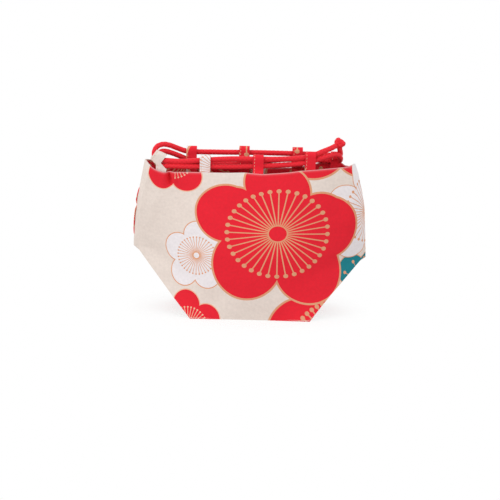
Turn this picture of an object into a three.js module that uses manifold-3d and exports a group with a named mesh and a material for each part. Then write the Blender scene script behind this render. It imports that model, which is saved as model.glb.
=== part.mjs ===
// Lined drawstring bento bag: a boxed cloth bag, eight cloth tabs round its mouth and a cord through them.
// Millimetres. +Z is up, +X is to the right of someone who faces the front, and the front faces -Y.
// The origin is the middle of the flat base, on the surface that the bag stands on.
import * as THREE from 'three';
import { ConvexGeometry } from 'three/addons/geometries/ConvexGeometry.js';
import { mergeVertices } from 'three/addons/utils/BufferGeometryUtils.js';
import Module from 'manifold-3d';

// Bag body
const BASE_WIDTH = 120;
const BASE_DEPTH = 112;
const EAR_WIDTH = 240; // across the two side points, the widest part of the bag
const EAR_HEIGHT = 62; // of the side points above the base
const EAR_THICKNESS = 8; // of the folded cloth at a side point
const EAR_FOLD = 3; // from a gusset's crease to the side point
const BELLY_DEPTH = 92; // front to back, at the height of the side points
const MOUTH_WIDTH = 216;
const MOUTH_DEPTH = 42;
const MOUTH_END_DEPTH = 28; // of the flat ends of the mouth
const MOUTH_END_FOLD = 7; // how far the mouth's ends stand out from their corners
const RIM_HEIGHT = 146; // in the middle of the front
const RIM_RISE = 5.5; // of the rim's ends above its middle
const SIDE_SWELL = 1.6; // how late the side seams turn in towards the mouth: 1 is straight

// Cloth
const CLOTH = 1.0;
const LINING = 0.6;
const PLY_GAP = 0.4; // between cloth and lining
const SEAM_GAP = 0.3; // between pieces that are sewn edge to edge
const HEM_DEPTH = 24; // of the printed facing inside the mouth

// Tabs
const TAB_WIDTH = 10.4;
const TAB_CLOTH = 1.2;
const TAB_PITCH = 54.4;
const TAB_SHIFT = 8.1; // of the row's middle tab from the middle of the front
const FRONT_END_TAB_X = 92; // the tabs nearest the mouth's ends
const BACK_END_TAB_X = 88;
const TAB_TOP = 167.6; // above the base
const TAB_ROOT = 9; // sewn length below the rim
const TAB_BORE = 7; // clear width for the cords
const TAB_SEAT = 0.3; // between a tab and the hem that it is sewn to
const TAB_LIFT = 0.4; // of a tab's loop above the rim

// Cord
const CORD = 4.6;
const CORD_SIDES = 8;
const CORD_STEP = 6.7; // along the cord
const CORD_JOINT = 0.3; // between the stretches of the cord
const CORD_Y = 13; // of the straight runs, in front of and behind the middle
const END_CORD_Y = 6; // of the cord at the left end tab, where it turns in
const CORD_SLOPE = 0.02; // the runs climb to the right
const RUN_LEFT = -70;
const FRONT_RUN_RIGHT = 72;
const BACK_RUN_RIGHT = 93.5;
const FRONT_UPPER_Z = 157.6; // the runs' heights at the middle of the bag
const FRONT_LOWER_Z = 152.4;
const BACK_UPPER_Z = 160.5;
const BACK_LOWER_Z = 155.2;
const KNOT_PLACE = [92, -2, 173.5];
const KNOT_RADIUS = 5.4;

// How finely the cloth is divided
const FRONT_STEPS = 8; // from the middle of the front to a crease
const FOLD_STEPS = 2; // from a crease to the side seam
const LOWER_STEPS = 3; // from the base to the side points
const UPPER_STEPS = 7; // from the side points to the rim
const TAB_ARC_STEPS = 8; // over the top of a tab

const REACH = 40; // how far a cutting shape goes past what it cuts
const FAN_SPREAD = 1.3; // how far past a gusset its cutting shape fans out
const RIM_TOP = RIM_HEIGHT + RIM_RISE;
const PLY = { cloth: [0, CLOTH], lining: [CLOTH + PLY_GAP, CLOTH + PLY_GAP + LINING] };
const INSIDE = PLY.lining[1];

const wasm = await Module();
wasm.setup();

const material = (color, roughness) => new THREE.MeshStandardMaterial({ color, roughness, metalness: 0 });
const PRINT = material(0xe6ddd3, 0.85);
const LINING_CLOTH = material(0xf1ebe2, 0.9);
const TAB_PRINT = material(0xdc2a34, 0.85);
const BRAID = material(0xd91f30, 0.7);

const bag = new THREE.Group();

function addPiece(name, geometry, finish) {
  const mesh = new THREE.Mesh(geometry, finish);
  mesh.name = name;
  bag.add(mesh);
}

// Solids for joining and cutting

function toSolid(geometry) {
  const bare = geometry.clone();
  bare.deleteAttribute('normal');
  bare.deleteAttribute('uv');
  const merged = mergeVertices(bare, 1e-4);
  return new wasm.Manifold(new wasm.Mesh({
    numProp: 3,
    vertProperties: new Float32Array(merged.attributes.position.array),
    triVerts: new Uint32Array(merged.index.array),
  }));
}

function toGeometry(solid) {
  const mesh = solid.getMesh();
  const geometry = new THREE.BufferGeometry();
  geometry.setAttribute('position', new THREE.BufferAttribute(mesh.vertProperties, 3));
  geometry.setIndex(new THREE.BufferAttribute(mesh.triVerts, 1));
  return geometry;
}

function boxSolid(low, high) {
  const size = high.map((value, axis) => value - low[axis]);
  const geometry = new THREE.BoxGeometry(...size);
  return toSolid(geometry.translate(...low.map((value, axis) => value + size[axis] / 2)));
}

// The bag's cross-section at a height, drawn in by an inset.
// Creases run from the base's corners to the side points.
function section(height, inset) {
  const mix = THREE.MathUtils.lerp;
  const lower = height <= EAR_HEIGHT;
  const rise = lower ? height / EAR_HEIGHT : (height - EAR_HEIGHT) / (RIM_TOP - EAR_HEIGHT);
  const drawnIn = rise ** SIDE_SWELL;
  const width = lower ? mix(BASE_WIDTH, EAR_WIDTH, rise) : mix(EAR_WIDTH, MOUTH_WIDTH, drawnIn);
  const fold = lower ? EAR_FOLD * rise : mix(EAR_FOLD, MOUTH_END_FOLD, rise);
  const foldDepth = lower
    ? mix(BASE_DEPTH, EAR_THICKNESS, rise)
    : mix(EAR_THICKNESS, MOUTH_END_DEPTH, rise);
  const depth = lower ? mix(BASE_DEPTH, BELLY_DEPTH, rise) : mix(BELLY_DEPTH, MOUTH_DEPTH, rise);
  return {
    seamX: width / 2 - inset,
    creaseX: width / 2 - fold - inset,
    creaseY: foldDepth / 2 - inset,
    frontY: depth / 2 - inset,
  };
}

// Distance of the front or back face from the middle plane
function faceY(x, height, inset) {
  const { creaseX, creaseY, frontY } = section(height, inset);
  return creaseY + (frontY - creaseY) * (1 - Math.min(1, Math.abs(x) / creaseX) ** 2);
}

function ring(height, inset) {
  const { seamX, creaseX, creaseY } = section(height, inset);
  const quarter = [];
  for (let step = 0; step < FRONT_STEPS; step += 1) {
    const x = (creaseX * step) / FRONT_STEPS;
    quarter.push([x, faceY(x, height, inset)]);
  }
  for (let step = 0; step < FOLD_STEPS; step += 1) {
    const along = step / FOLD_STEPS;
    quarter.push([creaseX + (seamX - creaseX) * along, creaseY * (1 - along)]);
  }
  const right = [...quarter.map(([x, y]) => [x, -y]), [seamX, 0], ...quarter.slice(1).reverse()];
  const left = [quarter[0], ...quarter.slice(1).map(([x, y]) => [-x, y]), [-seamX, 0]];
  return [...right, ...left, ...quarter.slice(1).reverse().map(([x, y]) => [-x, -y])];
}

function ringHeights(bottom) {
  const lower = Array.from({ length: LOWER_STEPS }, (_, step) => (EAR_HEIGHT * step) / LOWER_STEPS);
  const climb = RIM_TOP - EAR_HEIGHT;
  const upper = Array.from({ length: UPPER_STEPS + 1 }, (_, step) => (climb * step) / UPPER_STEPS);
  return [bottom, ...lower.slice(1), ...upper.map((height) => EAR_HEIGHT + height)];
}

// The solid inside the bag's outer face drawn in by an inset, standing on a floor of its own
function loft(inset) {
  const heights = ringHeights(inset);
  const rings = heights.map((height) => ring(height, inset));
  const count = rings[0].length;
  const points = rings.flatMap((outline, level) => outline.map(([x, y]) => [x, y, heights[level]]));
  const floor = points.push([0, 0, heights[0]]) - 1;
  const roof = points.push([0, 0, heights.at(-1)]) - 1;
  const faces = [];
  for (let side = 0; side < count; side += 1) {
    const next = (side + 1) % count;
    const top = (heights.length - 1) * count;
    faces.push([floor, next, side], [roof, top + side, top + next]);
    for (let level = 0; level < heights.length - 1; level += 1) {
      const below = level * count;
      const above = below + count;
      faces.push([below + side, below + next, above + next], [below + side, above + next, above + side]);
    }
  }
  const geometry = new THREE.BufferGeometry();
  geometry.setAttribute('position', new THREE.Float32BufferAttribute(points.flat(), 3));
  geometry.setIndex(faces.flat());
  return toSolid(geometry);
}

const rimZ = (x) => RIM_HEIGHT + RIM_RISE * (x / (MOUTH_WIDTH / 2)) ** 2;

// Everything below the rim's curve, or below a line that runs a set distance under it
function belowRim(drop) {
  const half = EAR_WIDTH / 2 + REACH;
  const sag = (x) => rimZ(Math.min(Math.abs(x), MOUTH_WIDTH / 2)) - drop;
  const profile = new THREE.Shape();
  profile.moveTo(-half, -REACH);
  profile.lineTo(half, -REACH);
  for (let step = 2 * FRONT_STEPS; step >= -2 * FRONT_STEPS; step -= 1) {
    const x = (half * step) / (2 * FRONT_STEPS);
    profile.lineTo(x, sag(x));
  }
  const span = BASE_DEPTH + 2 * REACH;
  const geometry = new THREE.ExtrudeGeometry(profile, { depth: span, bevelEnabled: false });
  return toSolid(geometry.rotateX(Math.PI / 2).translate(0, span / 2, 0));
}

// A pyramid that fans out through one gusset's triangle, so that its sides pass through the creases.
// A margin moves the creases apart.
function gussetFan(side, margin) {
  const apex = new THREE.Vector3(BASE_WIDTH / 6, 0, -REACH / 4);
  const foot = [BASE_WIDTH / 2, BASE_DEPTH / 2 + margin, 0];
  const point = [EAR_WIDTH / 2 - EAR_FOLD, EAR_THICKNESS / 2 + margin, EAR_HEIGHT + margin];
  const corners = [foot, point]
    .flatMap(([x, y, z]) => [new THREE.Vector3(x, y, z), new THREE.Vector3(x, -y, z)]);
  const spread = corners.map((corner) => corner.sub(apex).multiplyScalar(FAN_SPREAD).add(apex));
  const geometry = new ConvexGeometry([apex, ...spread]);
  return toSolid(side > 0 ? geometry : geometry.rotateZ(Math.PI));
}

// One ply of the bag, cut at its seams into front, back, two gussets and base
function cutPly(plyName, gussetName, [outside, inside], top, finish) {
  const far = EAR_WIDTH;
  const half = SEAM_GAP / 2;
  const shell = loft(outside).subtract(loft(inside).add(liftedLid(inside))).intersect(top);
  const floorTop = inside + half;
  const baseBox = (margin) => boxSolid(
    [-BASE_WIDTH / 2 + inside + margin, -BASE_DEPTH / 2 + inside + margin, -REACH],
    [BASE_WIDTH / 2 - inside - margin, BASE_DEPTH / 2 - inside - margin, floorTop],
  );
  const walls = shell.subtract(baseBox(0));
  const sides = { left: -1, right: 1 };
  let faces = walls;
  for (const [side, sign] of Object.entries(sides)) {
    const piece = walls.intersect(gussetFan(sign, -half));
    addPiece(`${side}_${gussetName}`, toGeometry(piece), finish);
    faces = faces.subtract(gussetFan(sign, half));
  }
  const front = faces.intersect(boxSolid([-far, -far, -REACH], [far, -half, far]));
  const back = faces.intersect(boxSolid([-far, half, -REACH], [far, far, far]));
  addPiece(`front_${plyName}`, toGeometry(front), finish);
  addPiece(`back_${plyName}`, toGeometry(back), finish);
  addPiece(`base_${plyName}`, toGeometry(shell.intersect(baseBox(SEAM_GAP))), finish);
}

// Opens the top of a loft, so that a shell cut by it has its mouth
function liftedLid(inset) {
  const { seamX, frontY } = section(RIM_TOP, inset);
  return boxSolid([-seamX / 2, -frontY / 2, RIM_TOP - CLOTH], [seamX / 2, frontY / 2, RIM_TOP + REACH]);
}

cutPly('panel', 'gusset', PLY.cloth, belowRim(0), PRINT);
cutPly('lining', 'gusset_lining', PLY.lining, belowRim(HEM_DEPTH + SEAM_GAP), LINING_CLOTH);

// The printed facing that lines the mouth, in the lining's place above it
function addHems() {
  const [outside, inside] = PLY.lining;
  const shell = loft(outside).subtract(loft(inside).add(liftedLid(inside)));
  const band = shell.intersect(belowRim(0)).subtract(belowRim(HEM_DEPTH));
  const far = EAR_WIDTH;
  const half = SEAM_GAP / 2;
  addPiece('front_hem', toGeometry(band.intersect(boxSolid([-far, -far, 0], [far, -half, far]))), PRINT);
  addPiece('back_hem', toGeometry(band.intersect(boxSolid([-far, half, 0], [far, far, far]))), PRINT);
}
addHems();

// A cloth tab: a loop for the cords above the rim, and the root sewn inside the hem.
// Its outline is drawn with x running from the hem towards the middle of the bag and y up from the rim.
function tabOutline(cordOffset, loopFoot, loopTop) {
  const rectangle = (left, bottom, right, top) => {
    const corners = [[left, bottom], [right, bottom], [right, top], [left, top]];
    return new THREE.Shape(corners.map(([x, y]) => new THREE.Vector2(x, y)));
  };
  const arch = (path, half, bottom) => {
    path.moveTo(cordOffset - half, bottom);
    path.lineTo(cordOffset + half, bottom);
    path.absarc(cordOffset, loopTop - TAB_BORE / 2 - TAB_CLOTH, half, 0, Math.PI, false);
    return path;
  };
  const loop = arch(new THREE.Shape(), TAB_BORE / 2 + TAB_CLOTH, loopFoot);
  loop.holes.push(arch(new THREE.Path(), TAB_BORE / 2, loopFoot + TAB_CLOTH));
  const rootEdge = TAB_SEAT + 2 * TAB_CLOTH;
  const root = rectangle(TAB_SEAT, -TAB_ROOT, rootEdge, loopFoot + TAB_CLOTH / 2);
  const neck = rectangle(TAB_SEAT, loopFoot, Math.max(rootEdge, cordOffset), loopFoot + TAB_CLOTH);
  return [loop, root, neck];
}

function addTab(name, x, side, held) {
  const edge = Math.abs(x) + TAB_WIDTH / 2;
  const rim = rimZ(edge);
  const hemY = Math.min(faceY(edge, rim - TAB_ROOT, INSIDE), faceY(edge, rim, INSIDE));
  const cordOffset = hemY - held.y;
  const options = { depth: TAB_WIDTH, bevelEnabled: false, curveSegments: TAB_ARC_STEPS };
  const solids = tabOutline(cordOffset, held.foot - rim, TAB_TOP - rim)
    .map((outline) => toSolid(new THREE.ExtrudeGeometry(outline, options)));
  const geometry = toGeometry(solids.reduce((whole, solid) => whole.add(solid)));
  geometry.rotateX(Math.PI / 2).rotateZ(Math.PI / 2).translate(-TAB_WIDTH / 2, 0, 0);
  geometry.translate(0, -hemY, rim);
  if (side > 0) geometry.rotateZ(Math.PI);
  addPiece(name, geometry.translate(x, 0, 0), TAB_PRINT);
}

// The row on the back is the row on the front turned half round, but for its end tab.
// Only the left end tab hangs inside the rim, where the cord dips into the mouth's end.
const rowX = [TAB_SHIFT - TAB_PITCH, TAB_SHIFT, TAB_SHIFT + TAB_PITCH];
[-FRONT_END_TAB_X, ...rowX].forEach((x, index) => {
  const aboveRim = { y: CORD_Y, foot: rimZ(Math.abs(x) + TAB_WIDTH / 2) + TAB_LIFT };
  const insideRim = { y: END_CORD_Y, foot: RIM_HEIGHT + TAB_LIFT };
  addTab(`front_tab_${index + 1}`, x, -1, index === 0 ? insideRim : aboveRim);
});
[-BACK_END_TAB_X, ...rowX].forEach((x, index) => {
  const aboveRim = { y: CORD_Y, foot: rimZ(Math.abs(x) + TAB_WIDTH / 2) + TAB_LIFT };
  addTab(`back_tab_${index + 1}`, -x, 1, aboveRim);
});

// One cord goes twice round the mouth. Its ends meet in a knot at the right, its lower runs meet in a loop
// under the knot, and two bends join the runs at the left.

function cordTube(points) {
  const places = points.map((point) => new THREE.Vector3(...point));
  const path = new THREE.CatmullRomCurve3(places, false, 'centripetal');
  const section2d = new THREE.Shape();
  for (let side = 0; side < CORD_SIDES; side += 1) {
    const angle = ((side + 0.5) / CORD_SIDES) * 2 * Math.PI;
    const corner = [(CORD / 2) * Math.cos(angle), (CORD / 2) * Math.sin(angle)];
    if (side === 0) section2d.moveTo(...corner);
    else section2d.lineTo(...corner);
  }
  const steps = Math.round(path.getLength() / CORD_STEP);
  return new THREE.ExtrudeGeometry(section2d, { steps, bevelEnabled: false, extrudePath: path });
}

const onRun = (x, side, height) => [x, side * CORD_Y, height + CORD_SLOPE * x];

function straightRun(side, height, right) {
  return [RUN_LEFT, RUN_LEFT / 2, 0, right / 2, right].map((x) => onRun(x, side, height));
}

function addBend(name, frontHeight, backHeight, turn) {
  const ends = [RUN_LEFT - CORD_JOINT, RUN_LEFT - CORD_JOINT - CORD];
  const front = ends.map((x) => onRun(x, -1, frontHeight));
  const back = ends.map((x) => onRun(x, 1, backHeight)).reverse();
  addPiece(name, cordTube([...front, ...turn, ...back]), BRAID);
}

addPiece('cord_upper_front', cordTube([
  ...straightRun(-1, FRONT_UPPER_Z, FRONT_RUN_RIGHT), [79, -12.2, 160.6], [84.5, -9.6, 164.2],
  [88.4, -5.6, 169.7],
]), BRAID);
addPiece('cord_upper_back', cordTube([
  ...straightRun(1, BACK_UPPER_Z, BACK_RUN_RIGHT), [97.2, 12, 163], [99.4, 9, 164.8], [99.4, 5, 167.8],
  [96.5, 0.9, 171.1],
]), BRAID);
addPiece('cord_lower_loop', cordTube([
  ...straightRun(-1, FRONT_LOWER_Z, FRONT_RUN_RIGHT), [79, -12.6, 154.2], [86, -11, 154.8], [92.5, -8, 155.3],
  [97.6, -3.6, 155.8], [100.2, 2, 156.3], [99.4, 8, 156.8], [96.8, 12, 157.1],
  ...straightRun(1, BACK_LOWER_Z, BACK_RUN_RIGHT).reverse(),
]), BRAID);
const knot = new THREE.SphereGeometry(KNOT_RADIUS, 2 * CORD_SIDES, CORD_SIDES);
addPiece('cord_knot', knot.translate(...KNOT_PLACE), BRAID);
addBend('cord_inner_bend', FRONT_UPPER_Z, BACK_LOWER_Z, [
  [-80, -9.6, 156.1], [-86, -6.8, 156.1], [-92, -6, 156.4], [-98, -5.6, 157.6], [-100.6, -2, 160],
  [-98.6, 2.6, 161.2], [-90, 8, 159.2], [-81, 11.6, 155.4],
]);
addBend('cord_outer_bend', FRONT_LOWER_Z, BACK_UPPER_Z, [
  [-80, -9.6, 150.8], [-86, -6.8, 150.7], [-92, -6, 150.9], [-98.6, -5.6, 152.6], [-105, -4.4, 157.2],
  [-106.6, -1, 163.2], [-102.4, 2.8, 168.6], [-95, 5.6, 170.2], [-86.5, 8.6, 167.6], [-80, 11.2, 162.8],
]);

export default bag;
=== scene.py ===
"""A printed cloth bento bag: boxed base, folded side points, cloth tabs and a braided drawcord."""

import math

import bpy
import numpy as np
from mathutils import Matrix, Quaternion, Vector


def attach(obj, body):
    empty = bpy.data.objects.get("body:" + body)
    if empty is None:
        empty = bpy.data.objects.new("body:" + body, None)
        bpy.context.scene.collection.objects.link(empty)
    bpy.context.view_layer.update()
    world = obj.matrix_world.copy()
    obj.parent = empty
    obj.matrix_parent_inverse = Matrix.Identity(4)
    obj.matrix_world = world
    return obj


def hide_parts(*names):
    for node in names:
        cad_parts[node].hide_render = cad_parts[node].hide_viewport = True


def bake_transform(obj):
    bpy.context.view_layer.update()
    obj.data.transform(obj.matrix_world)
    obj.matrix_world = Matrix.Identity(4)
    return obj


bl_info = {
    "name": "Plum Blossom Bento Bag",
    "version": (1, 0, 0),
    "blender": (4, 5, 0),
    "location": "View3D > Sidebar > Bento Bag",
    "description": "Sews a lined drawstring bento bag round its packed frame",
    "category": "Object",
}

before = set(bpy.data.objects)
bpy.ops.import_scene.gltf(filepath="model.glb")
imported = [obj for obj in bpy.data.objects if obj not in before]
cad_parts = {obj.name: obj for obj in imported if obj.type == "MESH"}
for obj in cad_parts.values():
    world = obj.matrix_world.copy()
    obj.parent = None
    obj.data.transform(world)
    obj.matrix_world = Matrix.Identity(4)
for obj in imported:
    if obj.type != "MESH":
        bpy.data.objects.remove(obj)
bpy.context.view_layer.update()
MM = 0.001
FRONT, BACK = -1, 1
CLOTH_MAP = "cloth_mm"
# Point attribute of painted light: a painted highlight along the rim of the printed cloth, and painted
# shade in the cord's grooves
PAINTED_LIGHT_ATTRIBUTE = "painted_highlight_and_shade"
# Points closer than this are one, in metres
WELD_GAP = 1e-6


def linear(hex_code):
    """An sRGB hex colour as linear red, green and blue"""
    parts = [int(hex_code[i:i + 2], 16) / 255 for i in (0, 2, 4)]
    return tuple(c / 12.92 if c <= 0.04045 else ((c + 0.055) / 1.055) ** 2.4 for c in parts)


def length(label, about, millimetres):
    """A length that a user can set, with its default in millimetres"""
    return bpy.props.FloatProperty(
        name=label, description=about, default=millimetres * MM, unit="LENGTH", precision=4)


def colour(label, about, hex_code):
    """A colour that a user can set, with its default as sRGB hex"""
    return bpy.props.FloatVectorProperty(
        name=label, description=about, default=linear(hex_code), subtype="COLOR", min=0, max=1)


class BagSizes(bpy.types.PropertyGroup):
    base_width: length("Base width", "Left to right across the flat base", 120)
    base_depth: length("Base depth", "Front to back across the flat base", 112)
    ear_width: length("Side points", "Across the two folded side points", 240)
    ear_height: length("Side point height", "Side points above the base", 62)
    ear_thickness: length("Side point thickness", "Folded cloth at a side point", 8)
    ear_fold: length("Side point fold", "From a gusset's crease to the side point", 3)
    belly_depth: length("Belly depth", "Front to back at the side points", 92)
    mouth_width: length("Mouth width", "Left to right across the mouth", 216)
    mouth_depth: length("Mouth depth", "Front to back in the middle of the mouth", 42)
    mouth_end_depth: length("Mouth end depth", "Front to back at the mouth's flat ends", 28)
    mouth_end_fold: length("Mouth end fold", "How far the mouth's ends stand out", 7)
    rim_height: length("Rim height", "Rim above the base in the middle of the front", 146)
    rim_rise: length("Rim rise", "Rim's ends above its middle", 5.5)
    side_swell: bpy.props.FloatProperty(
        name="Side swell", description="How late the sides turn in: 1 is straight", default=1.6)
    cloth: length("Cloth", "Thickness of the printed cloth", 0.9)
    seam_tuck: length("Seam tuck", "Edge of a gusset or the base behind the wall that it meets", 0.4)
    lining: length("Lining", "Thickness of the lining", 0.6)
    lining_inset: length("Lining inset", "Lining's outer face inside the bag's outer face", 1.5)
    hem_depth: length("Hem depth", "Printed facing inside the mouth", 24)
    ear_droop: length("Side point droop", "Right side point down, left one up", 2.2)
    right_droop: length("Right point droop", "How much further the right side point hangs", 2.2)
    tab_width: length("Tab width", "Across a tab", 10.7)
    tab_cloth: length("Tab cloth", "Thickness of a tab's folded strip", 1.1)
    tab_bore: length("Tab bore", "Front to back inside a tab's loop", 7)
    tab_root: length("Tab root", "Sewn length below the rim", 9)
    cord: length("Cord", "Thickness of the braided cord", 5.4)
    braid: length("Braid pitch", "Length of one crossing of the braid", 4.4)
    stitch: length("Stitch", "Length of one stitch", 2.2)
    stitch_gap: length("Stitch gap", "Between stitches", 1.0)
    thread: length("Thread", "Thickness of the sewing thread", 0.45)


class BagColours(bpy.types.PropertyGroup):
    ground: colour("Ground", "Cream ground of the printed cotton", "e6d9d0")
    red: colour("Red", "Red blossom ink", "e72434")
    white: colour("White", "White blossom ink", "ece6e8")
    gold: colour("Gold", "Gold outline ink", "de9f7a")
    pale: colour("Pale gold", "Stamens of the small red blossoms", "ecb89c")
    teal: colour("Teal", "Teal blossom ink", "1d7f8a")
    lining: colour("Lining", "Plain cotton lining", "efe8de")
    cord: colour("Cord", "Dyed braided cord", "e8202f")
    thread: colour("Thread", "Sewing thread", "eec5a8")
    floor: colour("Floor", "Pale studio floor", "fbfbfa")
    bounce: colour("Floor's bounce", "Floor as the light that it sends back up", "b4b0ae")


# The cloth repeats its print over this much cloth, in millimetres
PRINT_REPEAT = (380.0, 330.0)
# Most circles in a blossom: a petal that isn't round takes two
PETAL_CIRCLES = 8
# Radius of the filled middle of a blossom, as a share of its circles' mean distance
HEART_SHARE = 0.95
# Petals as the distance and radius of five like circles, or the place and radius of each circle;
# then outline, stamens, ring and stretch of the stamens, dot, line and core radius; in millimetres
BLOOM_SIZES = {
    "large": (((2.3, 39.0, 31.0), (-8.6, 52.8, 28.0), (-54.5, 19.8, 31.0), (-30.9, -31.8, 36.6),
               (33.1, -36.5, 36.4), (52.0, 6.1, 32.5), (42.2, 9.0, 33.3), (-45.5, 18.0, 30.6)),
              2.0, 36, 51.9, 1.19, 2.5, 1.3, 9.1),
    "broad": (((40.9, 13.3, 33.0), (0.0, 43.0, 33.0), (-40.9, 13.3, 33.0), (-27.9, -27.9, 40.3),
               (25.3, -34.8, 33.0)), 2.0, 36, 49.0, 1.13, 2.4, 1.3, 8.9),
    "corner": (((-36.0, 20.5, 33.8), (0.9, 35.2, 27.0), (40.9, 21.2, 30.0), (30.9, -26.8, 33.0),
                (-21.1, -26.8, 33.0)), 2.0, 50, 49.0, 1.0, 2.2, 1.3, 8.9),
    "edge": (((31.0, 6.0, 20.2), (-3.2, 33.1, 20.5), (-30.5, 6.3, 20.2), (-20.0, -27.0, 20.2),
              (18.2, -27.0, 20.2)), 0.8, 36, 29.8, 1.0, 1.4, 0.75, 3.6),
    "middle": ((32.5, 20.2), 0.8, 36, 29.8, 1.0, 1.2, 0.75, 3.6),
    "small": ((21.0, 15.2), 1.0, 36, 20.4, 1.08, 0.9, 0.65, 3.0),
    "upper": (((22.9, 5.3, 16.2), (2.0, 23.4, 16.2), (-20.0, 9.2, 15.6), (-13.2, -17.4, 15.6),
               (12.1, -20.1, 16.3)), 1.1, 36, 19.4, 1.0, 0.9, 0.6, 3.0),
    "petal": (((0.0, 0.0, 13.2),) * 5, 0.0, 36, 0.0, 1.0, 0.0, 0.0, 0.0),
    "side": ((22.0, 18.5), 0.9, 12, 29.6, 1.0, 1.7, 0.7, 2.4),
    "bud": ((15.4, 12.4), 0.9, 20, 15.0, 1.0, 1.2, 0.7, 2.4),
}
# Size, petals, lines, core, place on the cloth in millimetres, and turn of five like circles in
# degrees, from the lowest print up
BLOOMS = (
    ("small", "red", "pale", "red", (-62.2, -8.4), 5),
    ("upper", "red", "pale", "red", (-76.6, 165.8), 0),
    ("petal", "red", "red", "red", (-90.0, 149.4), 0),
    ("broad", "red", "gold", "red", (91.8, 209.8), 0),
    ("side", "teal", "gold", "gold", (128.8, 33.0), 45),
    ("corner", "red", "gold", "red", (89.6, -30.6), 0),
    ("edge", "white", "gold", "white", (128.2, 110.4), 0),
    ("small", "white", "gold", "white", (-54.0, 61.8), -2),
    ("bud", "red", "gold", "gold", (-162.0, 45.0), 30),
    ("small", "red", "pale", "red", (180.0, 178.0), 12),
    ("small", "white", "gold", "white", (-18.0, 236.0), 22),
    ("middle", "red", "gold", "gold", (-98.0, 268.0), 8),
    ("small", "teal", "gold", "gold", (-160.0, 206.0), 0),
    ("small", "white", "gold", "white", (176.0, 258.0), -18),
    ("large", "red", "gold", "red", (29.4, 88.2), 0),
)


# Shapes of cloth


def rim_top(s):
    """Height of the rim at the mouth's ends"""
    return s.rim_height + s.rim_rise


def rim_z(s, x):
    """Height of the rim at places across, before the cloth settles"""
    return s.rim_height + s.rim_rise * np.minimum(np.abs(x) / (s.mouth_width / 2), 1) ** 2


def section(s, height, inset=0.0):
    """Seam's x, crease's x and y and the front's depth at each height, drawn in by an inset"""
    height = np.asarray(height, float)
    lower = height <= s.ear_height
    low = np.clip(height / s.ear_height, 0, 1)
    high = np.clip((height - s.ear_height) / (rim_top(s) - s.ear_height), 0, 1)

    def pick(base, ear, mouth, ease=1.0):
        return np.where(lower, base + (ear - base) * low, ear + (mouth - ear) * high ** ease)

    width = pick(s.base_width, s.ear_width, s.mouth_width, s.side_swell) / 2
    fold = pick(0.0, s.ear_fold, s.mouth_end_fold)
    fold_depth = pick(s.base_depth, s.ear_thickness, s.mouth_end_depth) / 2
    depth = pick(s.base_depth, s.belly_depth, s.mouth_depth) / 2
    return width - inset, width - fold - inset, fold_depth - inset, depth - inset


def face_depth(s, x, height, inset=0.0):
    """How far a wall stands from the middle of the bag"""
    _, crease_x, crease_y, front_y = section(s, height, inset)
    across = np.minimum(1, np.abs(x) / crease_x)
    return crease_y + (front_y - crease_y) * (1 - across ** 2)


# Soft creases pressed into the cloth, in millimetres: side, ends on the cloth as x and z, half width
# and depth
CREASES = (
    (FRONT, (-83.5, 152), (-80.5, 136), 2.5, -7.0),
    (FRONT, (-89, 150), (-86.5, 138), 2.8, 1.8),
    (FRONT, (-77, 150), (-75.5, 138), 3.0, 1.8),
    (FRONT, (-80, 133), (-70, 96), 7.0, -1.5),
    (FRONT, (-92, 130), (-101, 92), 9.0, 1.6),
    (FRONT, (-66, 128), (-40, 112), 8.0, -0.9),
    (FRONT, (-112, 66), (-58, 40), 8.0, -1.5),
    (FRONT, (112, 64), (62, 44), 9.0, -1.7),
    (FRONT, (100, 84), (106, 128), 8.0, 1.4),
    (FRONT, (84, 140), (90, 108), 7.0, -1.2),
    (FRONT, (-50, 6), (-20, 30), 8.0, -1.0),
    (FRONT, (50, 6), (30, 34), 8.0, -1.1),
    (BACK, (-110, 66), (-54, 42), 8.0, -1.6),
    (BACK, (110, 66), (60, 40), 8.0, -1.6),
    (BACK, (-70, 134), (-82, 94), 8.0, -1.6),
    (BACK, (20, 136), (34, 92), 10.0, -1.5),
    (BACK, (82, 136), (90, 98), 8.0, 1.5),
    (BACK, (-16, 126), (-8, 84), 9.0, 1.2),
    (BACK, (-48, 6), (-24, 34), 8.0, -1.1),
    (BACK, (48, 6), (22, 30), 8.0, -1.1),
)
# How far the rim of each side has moved up, in millimetres, at places across in millimetres
RIM_SHIFT = {
    FRONT: ((-108, -105, -101.5, -97.5, -93, -86, -80, -59, -50, -6, 12, 40, 52, 76, 96, 108),
            (3.2, 0.6, -2.0, -4.1, -5.5, -6.2, -4.8, -2.8, -2.2, 0, -1.3, 0.5, 1.8, 2.5, 2.7, 4.0)),
    BACK: ((-108, -98, -80, 40, 58, 74, 88, 93, 98, 103, 108),
           (3.2, 1.0, 0, 0, 2.0, 5.5, 5.8, 4.6, 0.8, 0, 4.0)),
}
# How far the right and left edges have moved out at heights, in millimetres
EDGE_SHIFT = {
    1: ((0, 31, 62, 83, 103, 113, 122, 142, 152), (3.9, 2.6, 1.5, 1.7, 2.7, 3.5, 3.4, 2.8, 1.4)),
    -1: ((62, 100, 113, 132, 152), (0, 0.6, 1.5, 1.2, 1.3)),
}
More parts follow.
